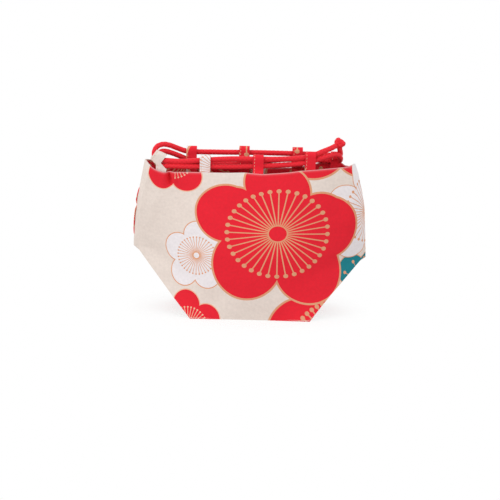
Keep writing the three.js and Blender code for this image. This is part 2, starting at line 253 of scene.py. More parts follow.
# How the cloth settles, in millimetres
RIPPLE_DEPTH = 0.35
RIPPLE_RUNS = (17, 23, 13, 41)  # x and z of one wave, z and x of the one across it
CREASE_ENDS, CREASE_MIDDLE = 0.55, 0.45  # share of its depth at a crease's ends, and more in its middle
CREASE_FOOT, CREASE_SIDE = 14, 9  # over which creases die out at the base and at the side folds
RIM_MOVES_FROM = 105  # height from which the cloth follows the rim
RIM_TUCK, RIM_TUCK_FROM, RIM_TUCK_RUN = 1.8, 70, 38  # of the rim's right end
FOOT_TUCK, FOOT_TUCK_HEIGHT, FOOT_TUCK_RUN = 2.4, 22, 60  # of the base's left end
FOOT_TUCK_MOST = 1.1  # most of it, past its run
EDGE_MOVES_FROM = 20  # from the middle out, where the cloth begins to follow its edges
PEEP, PEEP_FROM, PEEP_RUN = 1.7, 74, 50  # of the back past the front's left edge, and its heights
PEEP_PINCH, PEEP_PINCH_REACH, PEEP_PINCHED = 106, 3, 0.9  # height at which it nearly closes
PEEP_EDGE_FROM, PEEP_EDGE_RUN = 96, 14
DROOP_REACH, DROOP_FOOT = 46, 30  # heights over which a side point's droop dies out


def ramp(value, start, run):
    """0 up to the start, 1 past the run, and straight between"""
    return np.clip((value - start) / run, 0, 1)


def rim_shift(x, side):
    """How far the rim has moved up, in millimetres; a gusset or the base has no side"""
    return np.interp(x, *RIM_SHIFT[side]) if side else np.zeros_like(x)


def crease_depth(x, z, side):
    """How far the creases and ripples of one side push the cloth out, in millimetres"""
    out = np.zeros_like(x)
    for where, start, end, wide, deep in CREASES:
        if where != side:
            continue
        a, b = np.array(start, float), np.array(end, float)
        run = b - a
        along = np.clip(((x - a[0]) * run[0] + (z - a[1]) * run[1]) / (run @ run), 0, 1)
        gap = np.hypot(x - a[0] - along * run[0], z - a[1] - along * run[1])
        share = CREASE_ENDS + CREASE_MIDDLE * np.sin(math.pi * along)
        out += deep * np.exp(-(gap / wide) ** 2) * share
    x_run, z_run, cross_z, cross_x = RIPPLE_RUNS
    out += RIPPLE_DEPTH * np.sin(x / x_run + z / z_run) * np.sin(z / cross_z - x / cross_x)
    return out


def settled(s, points, side):
    """Points of one side after the cloth has settled"""
    moved = points.copy()
    x, z = points[..., 0] / MM, points[..., 2] / MM
    seam, crease, _, _ = section(s, points[..., 2])
    fade = ramp(z, 0, CREASE_FOOT) * ramp(crease - np.abs(points[..., 0]), 0, CREASE_SIDE * MM)
    moved[..., 1] += side * crease_depth(x, z, side) * fade * MM
    up = ramp(z, RIM_MOVES_FROM, rim_z(s, points[..., 0]) / MM - RIM_MOVES_FROM)
    up = up ** 2 * (3 - 2 * up)
    moved[..., 2] += rim_shift(x, side) * up * MM
    moved[..., 0] -= RIM_TUCK * MM * up * ramp(x, RIM_TUCK_FROM, RIM_TUCK_RUN)
    foot = np.exp(-z / FOOT_TUCK_HEIGHT) * np.clip(-x / FOOT_TUCK_RUN, 0, FOOT_TUCK_MOST)
    moved[..., 0] += FOOT_TUCK * MM * foot
    share = ramp(np.abs(x), EDGE_MOVES_FROM, seam / MM - EDGE_MOVES_FROM)
    shift = np.where(x > 0, np.interp(z, *EDGE_SHIFT[1]), -np.interp(z, *EDGE_SHIFT[-1]))
    moved[..., 0] += share * shift * MM
    if side == BACK:
        peep = np.sin(math.pi * ramp(z, PEEP_FROM, PEEP_RUN)) ** 0.5
        peep = peep * (1 - PEEP_PINCHED * np.exp(-((z - PEEP_PINCH) / PEEP_PINCH_REACH) ** 2))
        moved[..., 0] -= PEEP * MM * peep * ramp(-x, PEEP_EDGE_FROM, PEEP_EDGE_RUN)
    lean = np.exp(-(((z - s.ear_height / MM) / DROOP_REACH) ** 2)) * ramp(z, 0, DROOP_FOOT)
    reach = x / (s.ear_width / 2 / MM)
    moved[..., 2] -= lean * (s.ear_droop * reach + s.right_droop * np.clip(reach, 0, 1) ** 3)
    return moved


# Columns of a wall's mesh across its face and round each side fold, and steps that measure its climb
MAIN_COLUMNS = 200
FOLD_COLUMNS = 6
CLIMB_STEPS = 160
# Rows of the printed walls and of the lining up to the side points and above them, and of the hem
WALL_ROWS, LINING_ROWS, HEM_ROWS = (40, 62), (20, 30), 14
RIM_ROWS = (1.1, 0.7, 0.35, 0.0)  # last rows of a wall, in millimetres below its rim
GUSSET_ROWS, GUSSET_COLUMNS = 36, 41
BASE_ROWS, BASE_COLUMNS = 47, 49
# Where pieces are cut from the print, in millimetres from the front
BACK_CUT, GUSSET_CUT, BASE_CUT, HEM_CUT = (150, 165), (-162, 12), (-150, 75), (-68, 145)
# Room between a wall and its hem, and between the hem and the lining below it, in millimetres
HEM_GAP, LINING_GAP = 0.05, 0.3
RIM_HIGHLIGHT_REACH = 0.8  # reach of the painted highlight below the rim, in millimetres
GUSSET_SAG = 2.4  # in the middle of a gusset, in millimetres


def wall_grid(s, side, inset, levels, climbs, drops, rim_drop):
    """Rows of cloth from the base up: level heights, shares of the climb to the rim, drops below it"""
    across = np.concatenate([
        -np.ones(FOLD_COLUMNS), np.linspace(-1, 1, MAIN_COLUMNS + 1), np.ones(FOLD_COLUMNS)])
    edge = np.linspace(1, 0, FOLD_COLUMNS, endpoint=False)
    fold = np.concatenate([edge, np.zeros(MAIN_COLUMNS + 1), edge[::-1]])
    seam, crease, _, _ = section(s, rim_top(s), inset)
    rim = rim_z(s, np.abs(across) * crease + fold * (seam - crease)) - rim_drop
    rows = [np.full_like(across, z) for z in levels]
    rows += [s.ear_height + (rim - s.ear_height) * t for t in climbs]
    rows += [rim - d for d in drops]
    height = np.array(rows)
    seam, crease, crease_y, _ = section(s, height, inset)
    open_fold = fold * (np.arange(len(rows)) >= len(levels))[:, None]
    outward = np.where(fold > 0, crease + open_fold * (seam - crease), np.abs(across) * crease)
    x = np.sign(across) * outward
    y = np.where(fold > 0, crease_y * (1 - open_fold), face_depth(s, x, height, inset))
    points = np.stack([x, side * y, height], -1)
    steps = np.linalg.norm(np.diff(points, axis=1), axis=2)
    run = np.concatenate([np.zeros((len(rows), 1)), np.cumsum(steps, 1)], 1)
    run -= run[:, [run.shape[1] // 2]]
    rise_z = np.linspace(0, rim_top(s), CLIMB_STEPS)
    rise_y = face_depth(s, 0, rise_z, 0)
    rise = np.concatenate([[0], np.cumsum(np.hypot(np.diff(rise_z), np.diff(rise_y)))])
    cloth = np.stack([-side * run, np.interp(height, rise_z, rise)], -1) / MM
    # Painted highlight: a pale line along the rim's fold, strongest at the rim
    painted_light = np.exp(-((rim + rim_drop - height) / (RIM_HIGHLIGHT_REACH * MM)) ** 2)
    points = settled(s, points, side)
    if side == BACK:
        points, cloth, painted_light = points[:, ::-1], cloth[:, ::-1], painted_light[:, ::-1]
    return points, cloth, painted_light


def gusset_grid(s, hand, inset):
    """The folded triangle under a side point, from the base up"""
    height = np.linspace(inset, s.ear_height, GUSSET_ROWS)
    seam, crease, crease_y, _ = (v[:, None] for v in section(s, height, inset))
    share = np.linspace(-1, 1, GUSSET_COLUMNS)[None, :]
    sag = GUSSET_SAG * MM * (1 - share ** 2) * np.sin(math.pi * height / s.ear_height)[:, None]
    x = crease + (seam - crease) * (1 - np.abs(share)) - sag
    y = (crease_y - s.seam_tuck) * share
    z = np.broadcast_to(height[:, None], y.shape) + sag
    points = np.stack([hand * x, hand * y, z], -1)
    points = settled(s, points, 0)
    slope = np.hypot(1, (s.ear_width - s.base_width) / 2 / s.ear_height)
    cloth = np.stack([y, z * slope], -1) / MM
    return points, cloth, np.zeros(y.shape)


def base_grid(s, inset):
    """The flat base, from the back to the front"""
    x = np.linspace(-1, 1, BASE_COLUMNS)[None, :] * (s.base_width / 2 - inset - s.seam_tuck)
    y = np.linspace(1, -1, BASE_ROWS)[:, None] * (s.base_depth / 2 - inset - s.seam_tuck)
    x, y = np.broadcast_arrays(x, y)
    points = settled(s, np.stack([x, y, np.full(x.shape, inset)], -1), 0)
    return points, np.stack([x, -y], -1) / MM, np.zeros(x.shape)


# Meshes


def placed(name, data):
    """A new object at the origin, linked to the scene"""
    made = bpy.data.objects.new(name, data)
    bpy.context.scene.collection.objects.link(made)
    return made


def grid_object(name, points, cloth, painted_light, round_columns=False):
    """A mesh of quads over rows and columns of points, with its place on the cloth as its UV map"""
    rows, columns = points.shape[:2]
    wrap = columns if round_columns else columns - 1
    i, j = np.meshgrid(np.arange(rows - 1), np.arange(wrap), indexing="ij")
    following = (j + 1) % columns
    corners = np.stack([i * columns + j, i * columns + following,
                        (i + 1) * columns + following, (i + 1) * columns + j], -1).reshape(-1, 4)
    mesh = bpy.data.meshes.new(name)
    mesh.from_pydata(points.reshape(-1, 3).tolist(), [], corners.tolist())
    places = np.stack([cloth[i, j], cloth[i, j + 1], cloth[i + 1, j + 1], cloth[i + 1, j]], 2)
    layer = mesh.uv_layers.new(name=CLOTH_MAP)
    layer.data.foreach_set("uv", places.reshape(-1).astype(np.float32))
    # The painted light of each point: painted highlight on the cloth, painted shade on the cord
    painted_layer = mesh.attributes.new(PAINTED_LIGHT_ATTRIBUTE, "FLOAT", "POINT")
    painted_layer.data.foreach_set("value", painted_light.reshape(-1).astype(np.float32))
    return placed(name, mesh)


# Folds sharper than this stay sharp in the shading
SHARP_FOLD = math.radians(48)


def made_plain(piece):
    """Turns a piece and its modifiers into a plain mesh"""
    graph = bpy.context.evaluated_depsgraph_get()
    mesh = bpy.data.meshes.new_from_object(piece.evaluated_get(graph))
    piece.modifiers.clear()
    piece.data = mesh
    mesh.shade_smooth()
    mesh.set_sharp_from_angle(angle=SHARP_FOLD)
    return piece


def cloth_piece(node, grid, thickness, finish, offset=(0, 0), middle=False):
    """A piece of cloth with its thickness, cut from the print at an offset, in place of a CAD node"""
    points, cloth, painted_light = grid
    name = node.removesuffix("_panel") + "_cloth"
    piece = grid_object(name, points, cloth + np.array(offset), painted_light)
    weld = piece.modifiers.new("Weld", "WELD")
    weld.merge_threshold = WELD_GAP
    thick = piece.modifiers.new("Thickness", "SOLIDIFY")
    thick.thickness = thickness
    thick.offset = 0 if middle else -1
    made_plain(piece)
    piece.data.materials.append(finish)
    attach(piece, "bag")
    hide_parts(node)
    return piece


# Cord routes, in millimetres

KNOT_PLACE = (90.4, -2, 176.0)
FRONT_UPPER = ((86.6, -4.6, 173.6), (82, -7, 171.4), (73.4, -11, 168.2), (61.5, -13, 163.4),
               (48.2, -13, 161), (27.8, -13, 159.5), (7.4, -13, 159.1), (-21.3, -13, 158.6),
               (-46.9, -13, 156.8), (-69.4, -12.5, 154.8))
INNER_BEND = ((-83, -8.5, 154.6), (-91, -6, 155.2), (-94, -5, 157.8), (-94.8, -2, 159.8),
              (-93.6, 1.4, 162.2), (-89.2, 4.4, 162.7), (-81.1, 7.5, 160.4), (-74, 10, 157.4),
              (-65.9, 12.4, 154))
BACK_LOWER = ((-50, 13, 150.6), (-37.4, 13, 149.8), (-7.3, 13, 150.6), (13.5, 13, 153.8),
              (40.5, 13, 156.4), (71.7, 13, 156.2), (89.4, 13, 155.8))
RIGHT_LOOP = ((92, 10.5, 156.6), (92.5, 5, 159.5), (91, 0, 162.6), (87.6, -4, 164.6), (82.1, -8, 164.2),
              (75.9, -11, 162.6), (69.7, -12.6, 160.6))
FRONT_LOWER = ((61.7, -13, 157.7), (47.4, -13, 155), (28, -13, 153.2), (7.5, -13, 151.7),
               (-16, -13, 150.4), (-46.7, -13, 149.9), (-69.3, -12.5, 149.6))
OUTER_BEND = ((-82.9, -8.5, 149.2), (-90.6, -6, 149), (-95.8, -5.4, 151.6), (-98.8, -4.4, 156.6),
              (-99.5, -2, 162.6), (-97, 0.5, 167.8), (-91, 4, 169.9), (-84.6, 6.5, 168.9),
              (-75.9, 10, 165.4), (-67.1, 12.4, 162.5))
BACK_UPPER = ((-37.6, 13, 162), (-7.4, 13, 162.4), (13.3, 13, 162.5), (40.3, 13, 162.4),
              (71.5, 13, 162), (89.2, 13, 161.5))
UPPER_TAIL = ((92, 10.5, 162.4), (92.3, 6, 165), (91.6, 2, 168), (90.8, -1, 171.8))
# The whole cord from knot to knot: twice round the mouth
CORD_ROUTE = (*FRONT_UPPER, *INNER_BEND, *BACK_LOWER, *RIGHT_LOOP,
              *FRONT_LOWER, *OUTER_BEND, *BACK_UPPER, *UPPER_TAIL)
CORD_STEP = 0.6  # between rings of its mesh
# The knot: scale of its coil, starts and runs of its two ends, and shares of the cord's thickness
KNOT_SCALE = 1.06
KNOT_FLAT = 0.9  # of the coil, front to back
KNOT_STEPS, KNOT_END_STEPS = 120, 16
KNOT_ENDS = (((1.0, -0.4, 0.2), (4.2, -1.0, -0.4)), ((-0.6, 0.6, 1.0), (-0.6, 0.8, 3.6)))
KNOT_CORD, KNOT_END_CORD = 0.94, 0.9

# Mesh of the cord: sides, strands each way, and radius on a strand and less in a groove, as shares
TUBE_SIDES = 28
BRAID_STRANDS = 4
STRAND_RADIUS, GROOVE_DEPTH = 1.02, 0.09
# Rings that round off an end: share of the radius, and how far they stand out in radii
TIP_RINGS = ((0.8, 0.3), (0.45, 0.46), (0.0, 0.52))
# Share of the painted groove shade over the rounded ends
TIP_PAINTED_SHADE = 0.3


def run_along(line):
    """Length along a line up to each of its points"""
    return np.concatenate([[0], np.cumsum(np.linalg.norm(np.diff(line, axis=0), axis=1))])


def smooth_route(points, step):
    """A centripetal curve through the points, cut at even steps"""
    p = np.array(points, float)
    p = np.vstack([2 * p[0] - p[1], p, 2 * p[-1] - p[-2]])
    out = []
    for k in range(1, len(p) - 2):
        a, b, c, d = p[k - 1:k + 3]
        t0, t1 = 0.0, np.linalg.norm(b - a) ** 0.5
        t2 = t1 + np.linalg.norm(c - b) ** 0.5
        t3 = t2 + np.linalg.norm(d - c) ** 0.5
        t = np.linspace(t1, t2, 40, endpoint=False)[:, None]

        def blend(start, end, first, second):
            return (end - t) / (end - start) * first + (t - start) / (end - start) * second

        bc = blend(t1, t2, b, c)
        ac = blend(t0, t2, blend(t0, t1, a, b), bc)
        bd = blend(t1, t3, bc, blend(t2, t3, c, d))
        out.append(blend(t1, t2, ac, bd))
    line = np.vstack([*out, p[-2:-1]])
    run = run_along(line)
    even = np.linspace(0, run[-1], max(4, round(run[-1] / step)))
    return np.stack([np.interp(even, run, line[:, k]) for k in range(3)], 1)


def braided_tube(name, route, thickness, pitch, closed=False):
    """A tube of crossing strands along a route in millimetres, with closed ends"""
    ahead = np.roll(route, -1, 0) - np.roll(route, 1, 0)
    if not closed:
        ahead[0], ahead[-1] = route[1] - route[0], route[-1] - route[-2]
    ahead /= np.linalg.norm(ahead, axis=1)[:, None]
    side = np.cross(ahead[0], (0, 0, 1))
    sides = []
    for direction in ahead:
        side = side - direction * (side @ direction)
        side /= np.linalg.norm(side)
        sides.append(side)
    sides = np.array(sides)
    ups = np.cross(ahead, sides)
    run = run_along(route)
    turn = np.linspace(0, 2 * math.pi, TUBE_SIDES + 1)[:-1]
    twist = 2 * math.pi * run[:, None] / pitch
    strands = np.maximum(np.cos(BRAID_STRANDS * turn + twist), np.cos(BRAID_STRANDS * turn - twist))
    groove = np.clip(0.5 - 0.5 * strands, 0, 1)
    radius = thickness / 2 * (STRAND_RADIUS - GROOVE_DEPTH * groove)
    ring = np.cos(turn)[None, :, None] * sides[:, None] + np.sin(turn)[None, :, None] * ups[:, None]
    points = (route[:, None] + radius[..., None] * ring) * MM
    cloth = np.stack(np.broadcast_arrays(np.linspace(0, 1, TUBE_SIDES + 1)[None, :], run[:, None]), -1)
    if not closed:
        # Each end is melted round: two smaller rings and a middle point
        tips = []
        for k, way in ((0, -1), (-1, 1)):
            out = way * ahead[k] * thickness / 2 * MM
            middle = route[k] * MM
            tips.append([middle + share * (points[k] - middle) + bulge * out
                         for share, bulge in TIP_RINGS])
        points = np.concatenate([tips[0][::-1], points, tips[1]])
        cloth = np.concatenate([cloth[:1]] * len(TIP_RINGS) + [cloth] + [cloth[-1:]] * len(TIP_RINGS))
        # Painted shade at the melted ends: one plain share of the groove's painted shade
        plain = np.full((len(TIP_RINGS), groove.shape[1]), TIP_PAINTED_SHADE)
        groove = np.concatenate([plain, groove, plain])
    # The groove's share goes into the mesh as the painted shade of the grooves
    piece = grid_object(name, points, cloth, groove, round_columns=True)
    piece.modifiers.new("Weld", "WELD").merge_threshold = WELD_GAP
    return made_plain(piece)


# Materials

# Inputs go by name or by place: in a map range value, from and to; in a mix its share at 0, numbers
# at 2 and 3, colours at 6 and 7 and their output at 2
# Where most of a noise's values lie, as inputs of a map range
NOISE_SPREAD = {1: 0.3, 2: 0.7}
RIM_HIGHLIGHT_WHITENESS = 0.4  # how far the painted highlight along the rim turns white
GROOVE_PAINTED_SHADE = 0.74  # painted shade: the cord's colour is scaled by this between its strands
# How a blossom is drawn: name of each step, its node and output, operation and what goes into it
NUMBER = ("ShaderNodeMath", 0)
VECTOR = ("ShaderNodeVectorMath", 0)
MEASURE = ("ShaderNodeVectorMath", 1)
HALF_REPEAT = (PRINT_REPEAT[0] / 2, PRINT_REPEAT[1] / 2, 1)
BLOSSOM_STEPS = (
    ("away", VECTOR, "SUBTRACT", "Cloth", "Place"),
    ("near", VECTOR, "WRAP", "away", HALF_REPEAT, tuple(-v for v in HALF_REPEAT)),
    ("flat", VECTOR, "MULTIPLY", "near", (1, 1, 0)),
    ("from_middle", MEASURE, "LENGTH", "flat"),
    ("edge", NUMBER, "SUBTRACT", "from_middle", "Heart"),
    *(step for k in range(PETAL_CIRCLES) for step in (
        ("petal", VECTOR, "MULTIPLY", f"Petal {k}", (1, 1, 0)),
        ("radius", MEASURE, "DOT_PRODUCT", f"Petal {k}", (0, 0, 1)),
        ("gap", MEASURE, "DISTANCE", "flat", "petal"),
        ("past_petal", NUMBER, "SUBTRACT", "gap", "radius"),
        ("edge", NUMBER, "MINIMUM", "edge", "past_petal"),
    )),
    ("petals", NUMBER, "LESS_THAN", "edge", 0.0),
    ("inward", NUMBER, "MULTIPLY", "Outline", -1.0),
    ("outline", NUMBER, "GREATER_THAN", "edge", "inward"),
    ("oval", VECTOR, "MULTIPLY", "flat", "Stretch"),
    ("reach", MEASURE, "LENGTH", "oval"),
    ("x", MEASURE, "DOT_PRODUCT", "oval", (1, 0, 0)),
    ("y", MEASURE, "DOT_PRODUCT", "oval", (0, 1, 0)),
    ("around", NUMBER, "ARCTAN2", "y", "x"),
    ("half_step", NUMBER, "DIVIDE", math.pi, "Stamens"),
    ("half_back", NUMBER, "MULTIPLY", "half_step", -1.0),
    ("angle", NUMBER, "WRAP", "around", "half_step", "half_back"),
    ("cosine", NUMBER, "COSINE", "angle"),
    ("sine", NUMBER, "SINE", "angle"),
    ("along", NUMBER, "MULTIPLY", "reach", "cosine"),
    ("aside", NUMBER, "MULTIPLY", "reach", "sine"),
    ("off_line", NUMBER, "ABSOLUTE", "aside"),
    ("half_line", NUMBER, "MULTIPLY", "Line", 0.5),
    ("on_line", NUMBER, "LESS_THAN", "off_line", "half_line"),
    ("in_ring", NUMBER, "LESS_THAN", "reach", "Ring"),
    ("stamens", NUMBER, "MULTIPLY", "on_line", "in_ring"),
    ("past_ring", NUMBER, "SUBTRACT", "along", "Ring"),
    ("past_square", NUMBER, "MULTIPLY", "past_ring", "past_ring"),
    ("square", NUMBER, "MULTIPLY_ADD", "aside", "aside", "past_square"),
    ("from_dot", NUMBER, "SQRT", "square"),
    ("dots", NUMBER, "LESS_THAN", "from_dot", "Dot"),
    ("core_line", NUMBER, "COMPARE", "reach", "Core radius", "Line"),
    ("inner", NUMBER, "MAXIMUM", "stamens", "dots"),
    ("outer", NUMBER, "MAXIMUM", "core_line", "outline"),
    ("marks", NUMBER, "MAXIMUM", "inner", "outer"),
    ("lines", NUMBER, "MULTIPLY", "marks", "petals"),
    ("core", NUMBER, "LESS_THAN", "reach", "Core radius"),
)


def feed(tree, node, feeds):
    """Gives a node's inputs their values, or links them to sockets or nodes' first outputs"""
    for key, value in feeds.items():
        if isinstance(value, bpy.types.Node):
            value = value.outputs[0]
        if isinstance(value, bpy.types.NodeSocket):
            tree.links.new(value, node.inputs[key])
        else:
            node.inputs[key].default_value = value


def put(tree, kind, feeds=None, **settings):
    """Adds a node with its settings and what feeds it"""
    node = tree.nodes.new(kind)
    for key, value in settings.items():
        setattr(node, key, value)
    feed(tree, node, feeds or {})
    return node


def blossom_group():
    """One printed plum blossom over whatever lies below it: petals, outline, stamens and core"""
    tree = bpy.data.node_groups.new("Printed plum blossom", "ShaderNodeTree")
    for kind, names in (
        ("Color", ("Below", "Petals", "Lines", "Core")),
        ("Vector", ("Cloth", "Place", "Stretch", *(f"Petal {k}" for k in range(PETAL_CIRCLES)))),
        ("Float", ("Heart", "Outline", "Stamens", "Ring", "Dot", "Line", "Core radius")),
    ):
        for name in names:
            tree.interface.new_socket(name=name, in_out="INPUT", socket_type="NodeSocket" + kind)
    tree.interface.new_socket(name="Color", in_out="OUTPUT", socket_type="NodeSocketColor")
    found = {socket.name: socket for socket in tree.nodes.new("NodeGroupInput").outputs}
    for name, (kind, out), operation, *values in BLOSSOM_STEPS:
        feeds = {k: found.get(value, value) for k, value in enumerate(values)}
        found[name] = put(tree, kind, feeds, operation=operation).outputs[out]
    tint = found["Below"]
    for share in ("petals", "lines", "core"):
        feeds = {0: found[share], 6: tint, 7: found[share.capitalize()]}
        tint = put(tree, "ShaderNodeMix", feeds, data_type="RGBA").outputs[2]
    put(tree, "NodeGroupOutput", {"Color": tint})
    return tree


def new_material(name):
    """A new material, its node tree and its main shader"""
    made = bpy.data.materials.new(name)
    made.use_nodes = True
    tree = made.node_tree
    return made, tree, tree.nodes["Principled BSDF"]


def seen_directly(tree):
    """1 for rays from the camera, off a shine or through glass, which see the white backdrop"""
    rays = put(tree, "ShaderNodeLightPath").outputs
    seen = rays["Is Camera Ray"]
    for name in ("Is Glossy Ray", "Is Transmission Ray"):
        seen = put(tree, "ShaderNodeMath", {0: seen, 1: rays[name]}, operation="MAXIMUM")
    return seen


def woven_bump(tree, place, spacing, strength):
    """Plain weave drawn about twice as coarse as its threads, so that it shows"""
    parts = put(tree, "ShaderNodeSeparateXYZ", {0: place}).outputs
    wave = 2 * math.pi / spacing
    threads = {}
    for k in (0, 1):
        phase = put(tree, "ShaderNodeMath", {0: parts[k], 1: wave}, operation="MULTIPLY")
        threads[k] = put(tree, "ShaderNodeMath", {0: phase}, operation="SINE")
    weave = put(tree, "ShaderNodeMath", threads, operation="MULTIPLY")
    # Slack in the cloth: hollows about 30 mm across and under a millimetre deep
    hollows = put(tree, "ShaderNodeTexNoise", {
        "Vector": place, "Scale": 0.033, "Detail": 2.0, "Distortion": 0.5})
    slack = put(tree, "ShaderNodeBump", {"Strength": 0.5, "Distance": 0.004, "Height": hollows})
    return put(tree, "ShaderNodeBump", {
        "Strength": strength, "Distance": 0.00012, "Height": weave, "Normal": slack})


def printed_cotton(colours):
    """Plain-woven printed cotton: matt, a faint fuzz, inks flat on the cloth, a painted highlight along
    the rim's fold
    """
    made, tree, shader = new_material("Printed plum blossom cotton")
    place = put(tree, "ShaderNodeUVMap", uv_map=CLOTH_MAP)
    group = blossom_group()
    inks = {k: (*getattr(colours, k), 1) for k in ("ground", "red", "white", "gold", "pale", "teal")}
    tint = inks["ground"]
    for size, petals, lines, core, centre, turn in BLOOMS:
        circles, outline, stamens, ring, stretch, dot, line, core_radius = BLOOM_SIZES[size]
        if len(circles) == 2:
            away, radius = circles
            angles = [math.radians(18 + 72 * k + turn) for k in range(5)]
            circles = [(away * math.cos(a), away * math.sin(a), radius) for a in angles]
        heart = HEART_SHARE * sum(math.hypot(x, y) for x, y, _ in circles) / len(circles)
        circles = [*circles, *[circles[0]] * (PETAL_CIRCLES - len(circles))]
        tint = put(tree, "ShaderNodeGroup", {
            "Below": tint, "Cloth": place, "Place": (*centre, 0),
            **{f"Petal {k}": circle for k, circle in enumerate(circles)},
            "Heart": heart, "Outline": outline, "Stamens": stamens, "Ring": ring, "Dot": dot,
            "Stretch": (1, stretch, 1), "Line": line, "Core radius": core_radius,
            "Petals": inks[petals], "Lines": inks[lines], "Core": inks[core],
        }, node_tree=group)
    # Painted highlight: the print is mixed towards white along the rim's fold
    painted_light = put(tree, "ShaderNodeAttribute", attribute_name=PAINTED_LIGHT_ATTRIBUTE).outputs["Fac"]
    painted_highlight = put(tree, "ShaderNodeMath", {0: painted_light, 1: RIM_HIGHLIGHT_WHITENESS}, operation="MULTIPLY")
    feeds = {0: painted_highlight, 6: tint, 7: inks["white"]}
    tint = put(tree, "ShaderNodeMix", feeds, data_type="RGBA").outputs[2]
    # Slubs about 3 mm long
    slubs = put(tree, "ShaderNodeTexNoise", {"Vector": place, "Scale": 0.35, "Detail": 4.0})
    shade = put(tree, "ShaderNodeMapRange", {0: slubs, **NOISE_SPREAD, 3: 0.94, 4: 1.03})
    feed(tree, shader, {
        "Base Color": put(tree, "ShaderNodeVectorMath", {0: tint, 1: shade}, operation="MULTIPLY"),
        "Roughness": put(tree, "ShaderNodeMapRange", {0: slubs, **NOISE_SPREAD, 3: 0.78, 4: 0.92}),
        "Normal": woven_bump(tree, place, 0.9, 0.35),
        "Sheen Weight": 0.05, "Specular IOR Level": 0.15})
    return made


def plain_cotton(colours):
    """Plain-woven lining cotton: unprinted, matt, with slubs in its threads"""
    made, tree, shader = new_material("Plain lining cotton")
    place = put(tree, "ShaderNodeUVMap", uv_map=CLOTH_MAP)
    # Slubs a little over 3 mm long
    slubs = put(tree, "ShaderNodeTexNoise", {"Vector": place, "Scale": 0.3, "Detail": 5.0})
    shade = put(tree, "ShaderNodeMapRange", {0: slubs, **NOISE_SPREAD, 3: 0.92, 4: 1.02})
    feeds = {0: tuple(colours.lining), 1: shade}
    feed(tree, shader, {
        "Base Color": put(tree, "ShaderNodeVectorMath", feeds, operation="MULTIPLY"),
        "Normal": woven_bump(tree, place, 1.1, 0.4), "Roughness": 0.9, "Sheen Weight": 0.1})
    return made


def braided_polyester(colours):
    """Dyed polyester braid: a soft shine on each strand, with painted shade where the strands dive
    under
    """
    made, tree, shader = new_material("Braided polyester cord")
    painted_groove_shade = tuple(GROOVE_PAINTED_SHADE * c for c in colours.cord)
    # Painted shade: the cord turns darker where the strands dive under
    painted_shade_share = put(tree, "ShaderNodeAttribute", attribute_name=PAINTED_LIGHT_ATTRIBUTE).outputs["Fac"]
    share = put(tree, "ShaderNodeMapRange", {0: painted_shade_share, 1: 0.05, 2: 0.85, 3: 0.0, 4: 0.6})
    feeds = {0: share, 6: (*colours.cord, 1), 7: (*painted_groove_shade, 1)}
    place = put(tree, "ShaderNodeUVMap", uv_map=CLOTH_MAP)
    # Yarns about 0.3 mm wide, flecked every half millimetre
    fine = put(tree, "ShaderNodeMapping", {"Vector": place, "Scale": (60, 2.2, 1)})
    yarn = put(tree, "ShaderNodeTexNoise", {"Vector": fine, "Scale": 1.0, "Detail": 2.0})
    feed(tree, shader, {
        "Base Color": put(tree, "ShaderNodeMix", feeds, data_type="RGBA").outputs[2],
        "Normal": put(tree, "ShaderNodeBump", {"Strength": 0.3, "Distance": 0.00015, "Height": yarn}),
        "Roughness": put(tree, "ShaderNodeMapRange", {0: yarn, **NOISE_SPREAD, 3: 0.5, 4: 0.7}),
        "Sheen Weight": 0.05, "Specular IOR Level": 0.25})
    return made


def sewing_thread(colours):
    """Spun sewing thread: matt, with the twist of its plies"""
    made, tree, shader = new_material("Spun sewing thread")
    # Plies about 0.4 mm apart
    feeds = {"Vector": put(tree, "ShaderNodeTexCoord").outputs["Object"], "Scale": 900.0}
    twist = put(tree, "ShaderNodeTexWave", feeds, bands_direction="DIAGONAL").outputs[1]
    shade = put(tree, "ShaderNodeMapRange", {0: twist, 3: 0.86, 4: 1.04})
    feeds = {0: tuple(colours.thread), 1: shade}
    feed(tree, shader, {
        "Base Color": put(tree, "ShaderNodeVectorMath", feeds, operation="MULTIPLY"),
        "Roughness": 0.75})
    return made


def finish_named(name, maker):
    """A material by its name, made when it is first asked for"""
    return bpy.data.materials.get(name) or maker(bpy.context.scene.bag_colours)


# Tabs

# Name, x, side, distance of the cord from the middle, top, place on the print; in millimetres
TABS = (
    ("front_tab_1", -92, FRONT, 6, 163.2, (-122, 100)),
    ("front_tab_2", -46.6, FRONT, 13, 162.5, (-72.6, 59)),
    ("front_tab_3", 7.8, FRONT, 13, 163.8, (-37, 96)),
    ("front_tab_4", 61, FRONT, 13, 168.2, (82, 96)),
    ("back_tab_1", 88, BACK, 13, 165.6, (84, 72)),
    ("back_tab_2", 48.2, BACK, 13, 169.2, (24.6, 103.4)),
    ("back_tab_3", -7, BACK, 13, 169.2, (21.9, 95.5)),
    ("back_tab_4", -61.8, BACK, 13, 168, (-54.5, 70)),
)
# The tab that the left bend pulls askew: heights, its sway at them and its slant
TAB_SWAY = {
    "front_tab_1": ((143, 148, 151, 154.5, 158.5, 164), (0.5, 0.3, -2.6, -5.8, -2.8, 1.4), -0.44),
}
TAB_SEAT = 0.3  # between a tab and the hem that it is sewn to
TAB_LAYERS = 0.1  # between its two sewn ends
TAB_CROWN = 0.25  # of its middle over its edges
TAB_STEP, TAB_COLUMNS, TAB_BEND = 1.0, 9, 9  # of its mesh: step, columns, points over the cord
TAB_FREE = 3  # height above the rim from which it is free to sway
# Stitches: share of the tab's width from its edge, height over the cloth, points left out at the ends
STITCH_INSET = 0.15
STITCH_LIFT = 0.1
STITCH_ENDS = (10, 12)


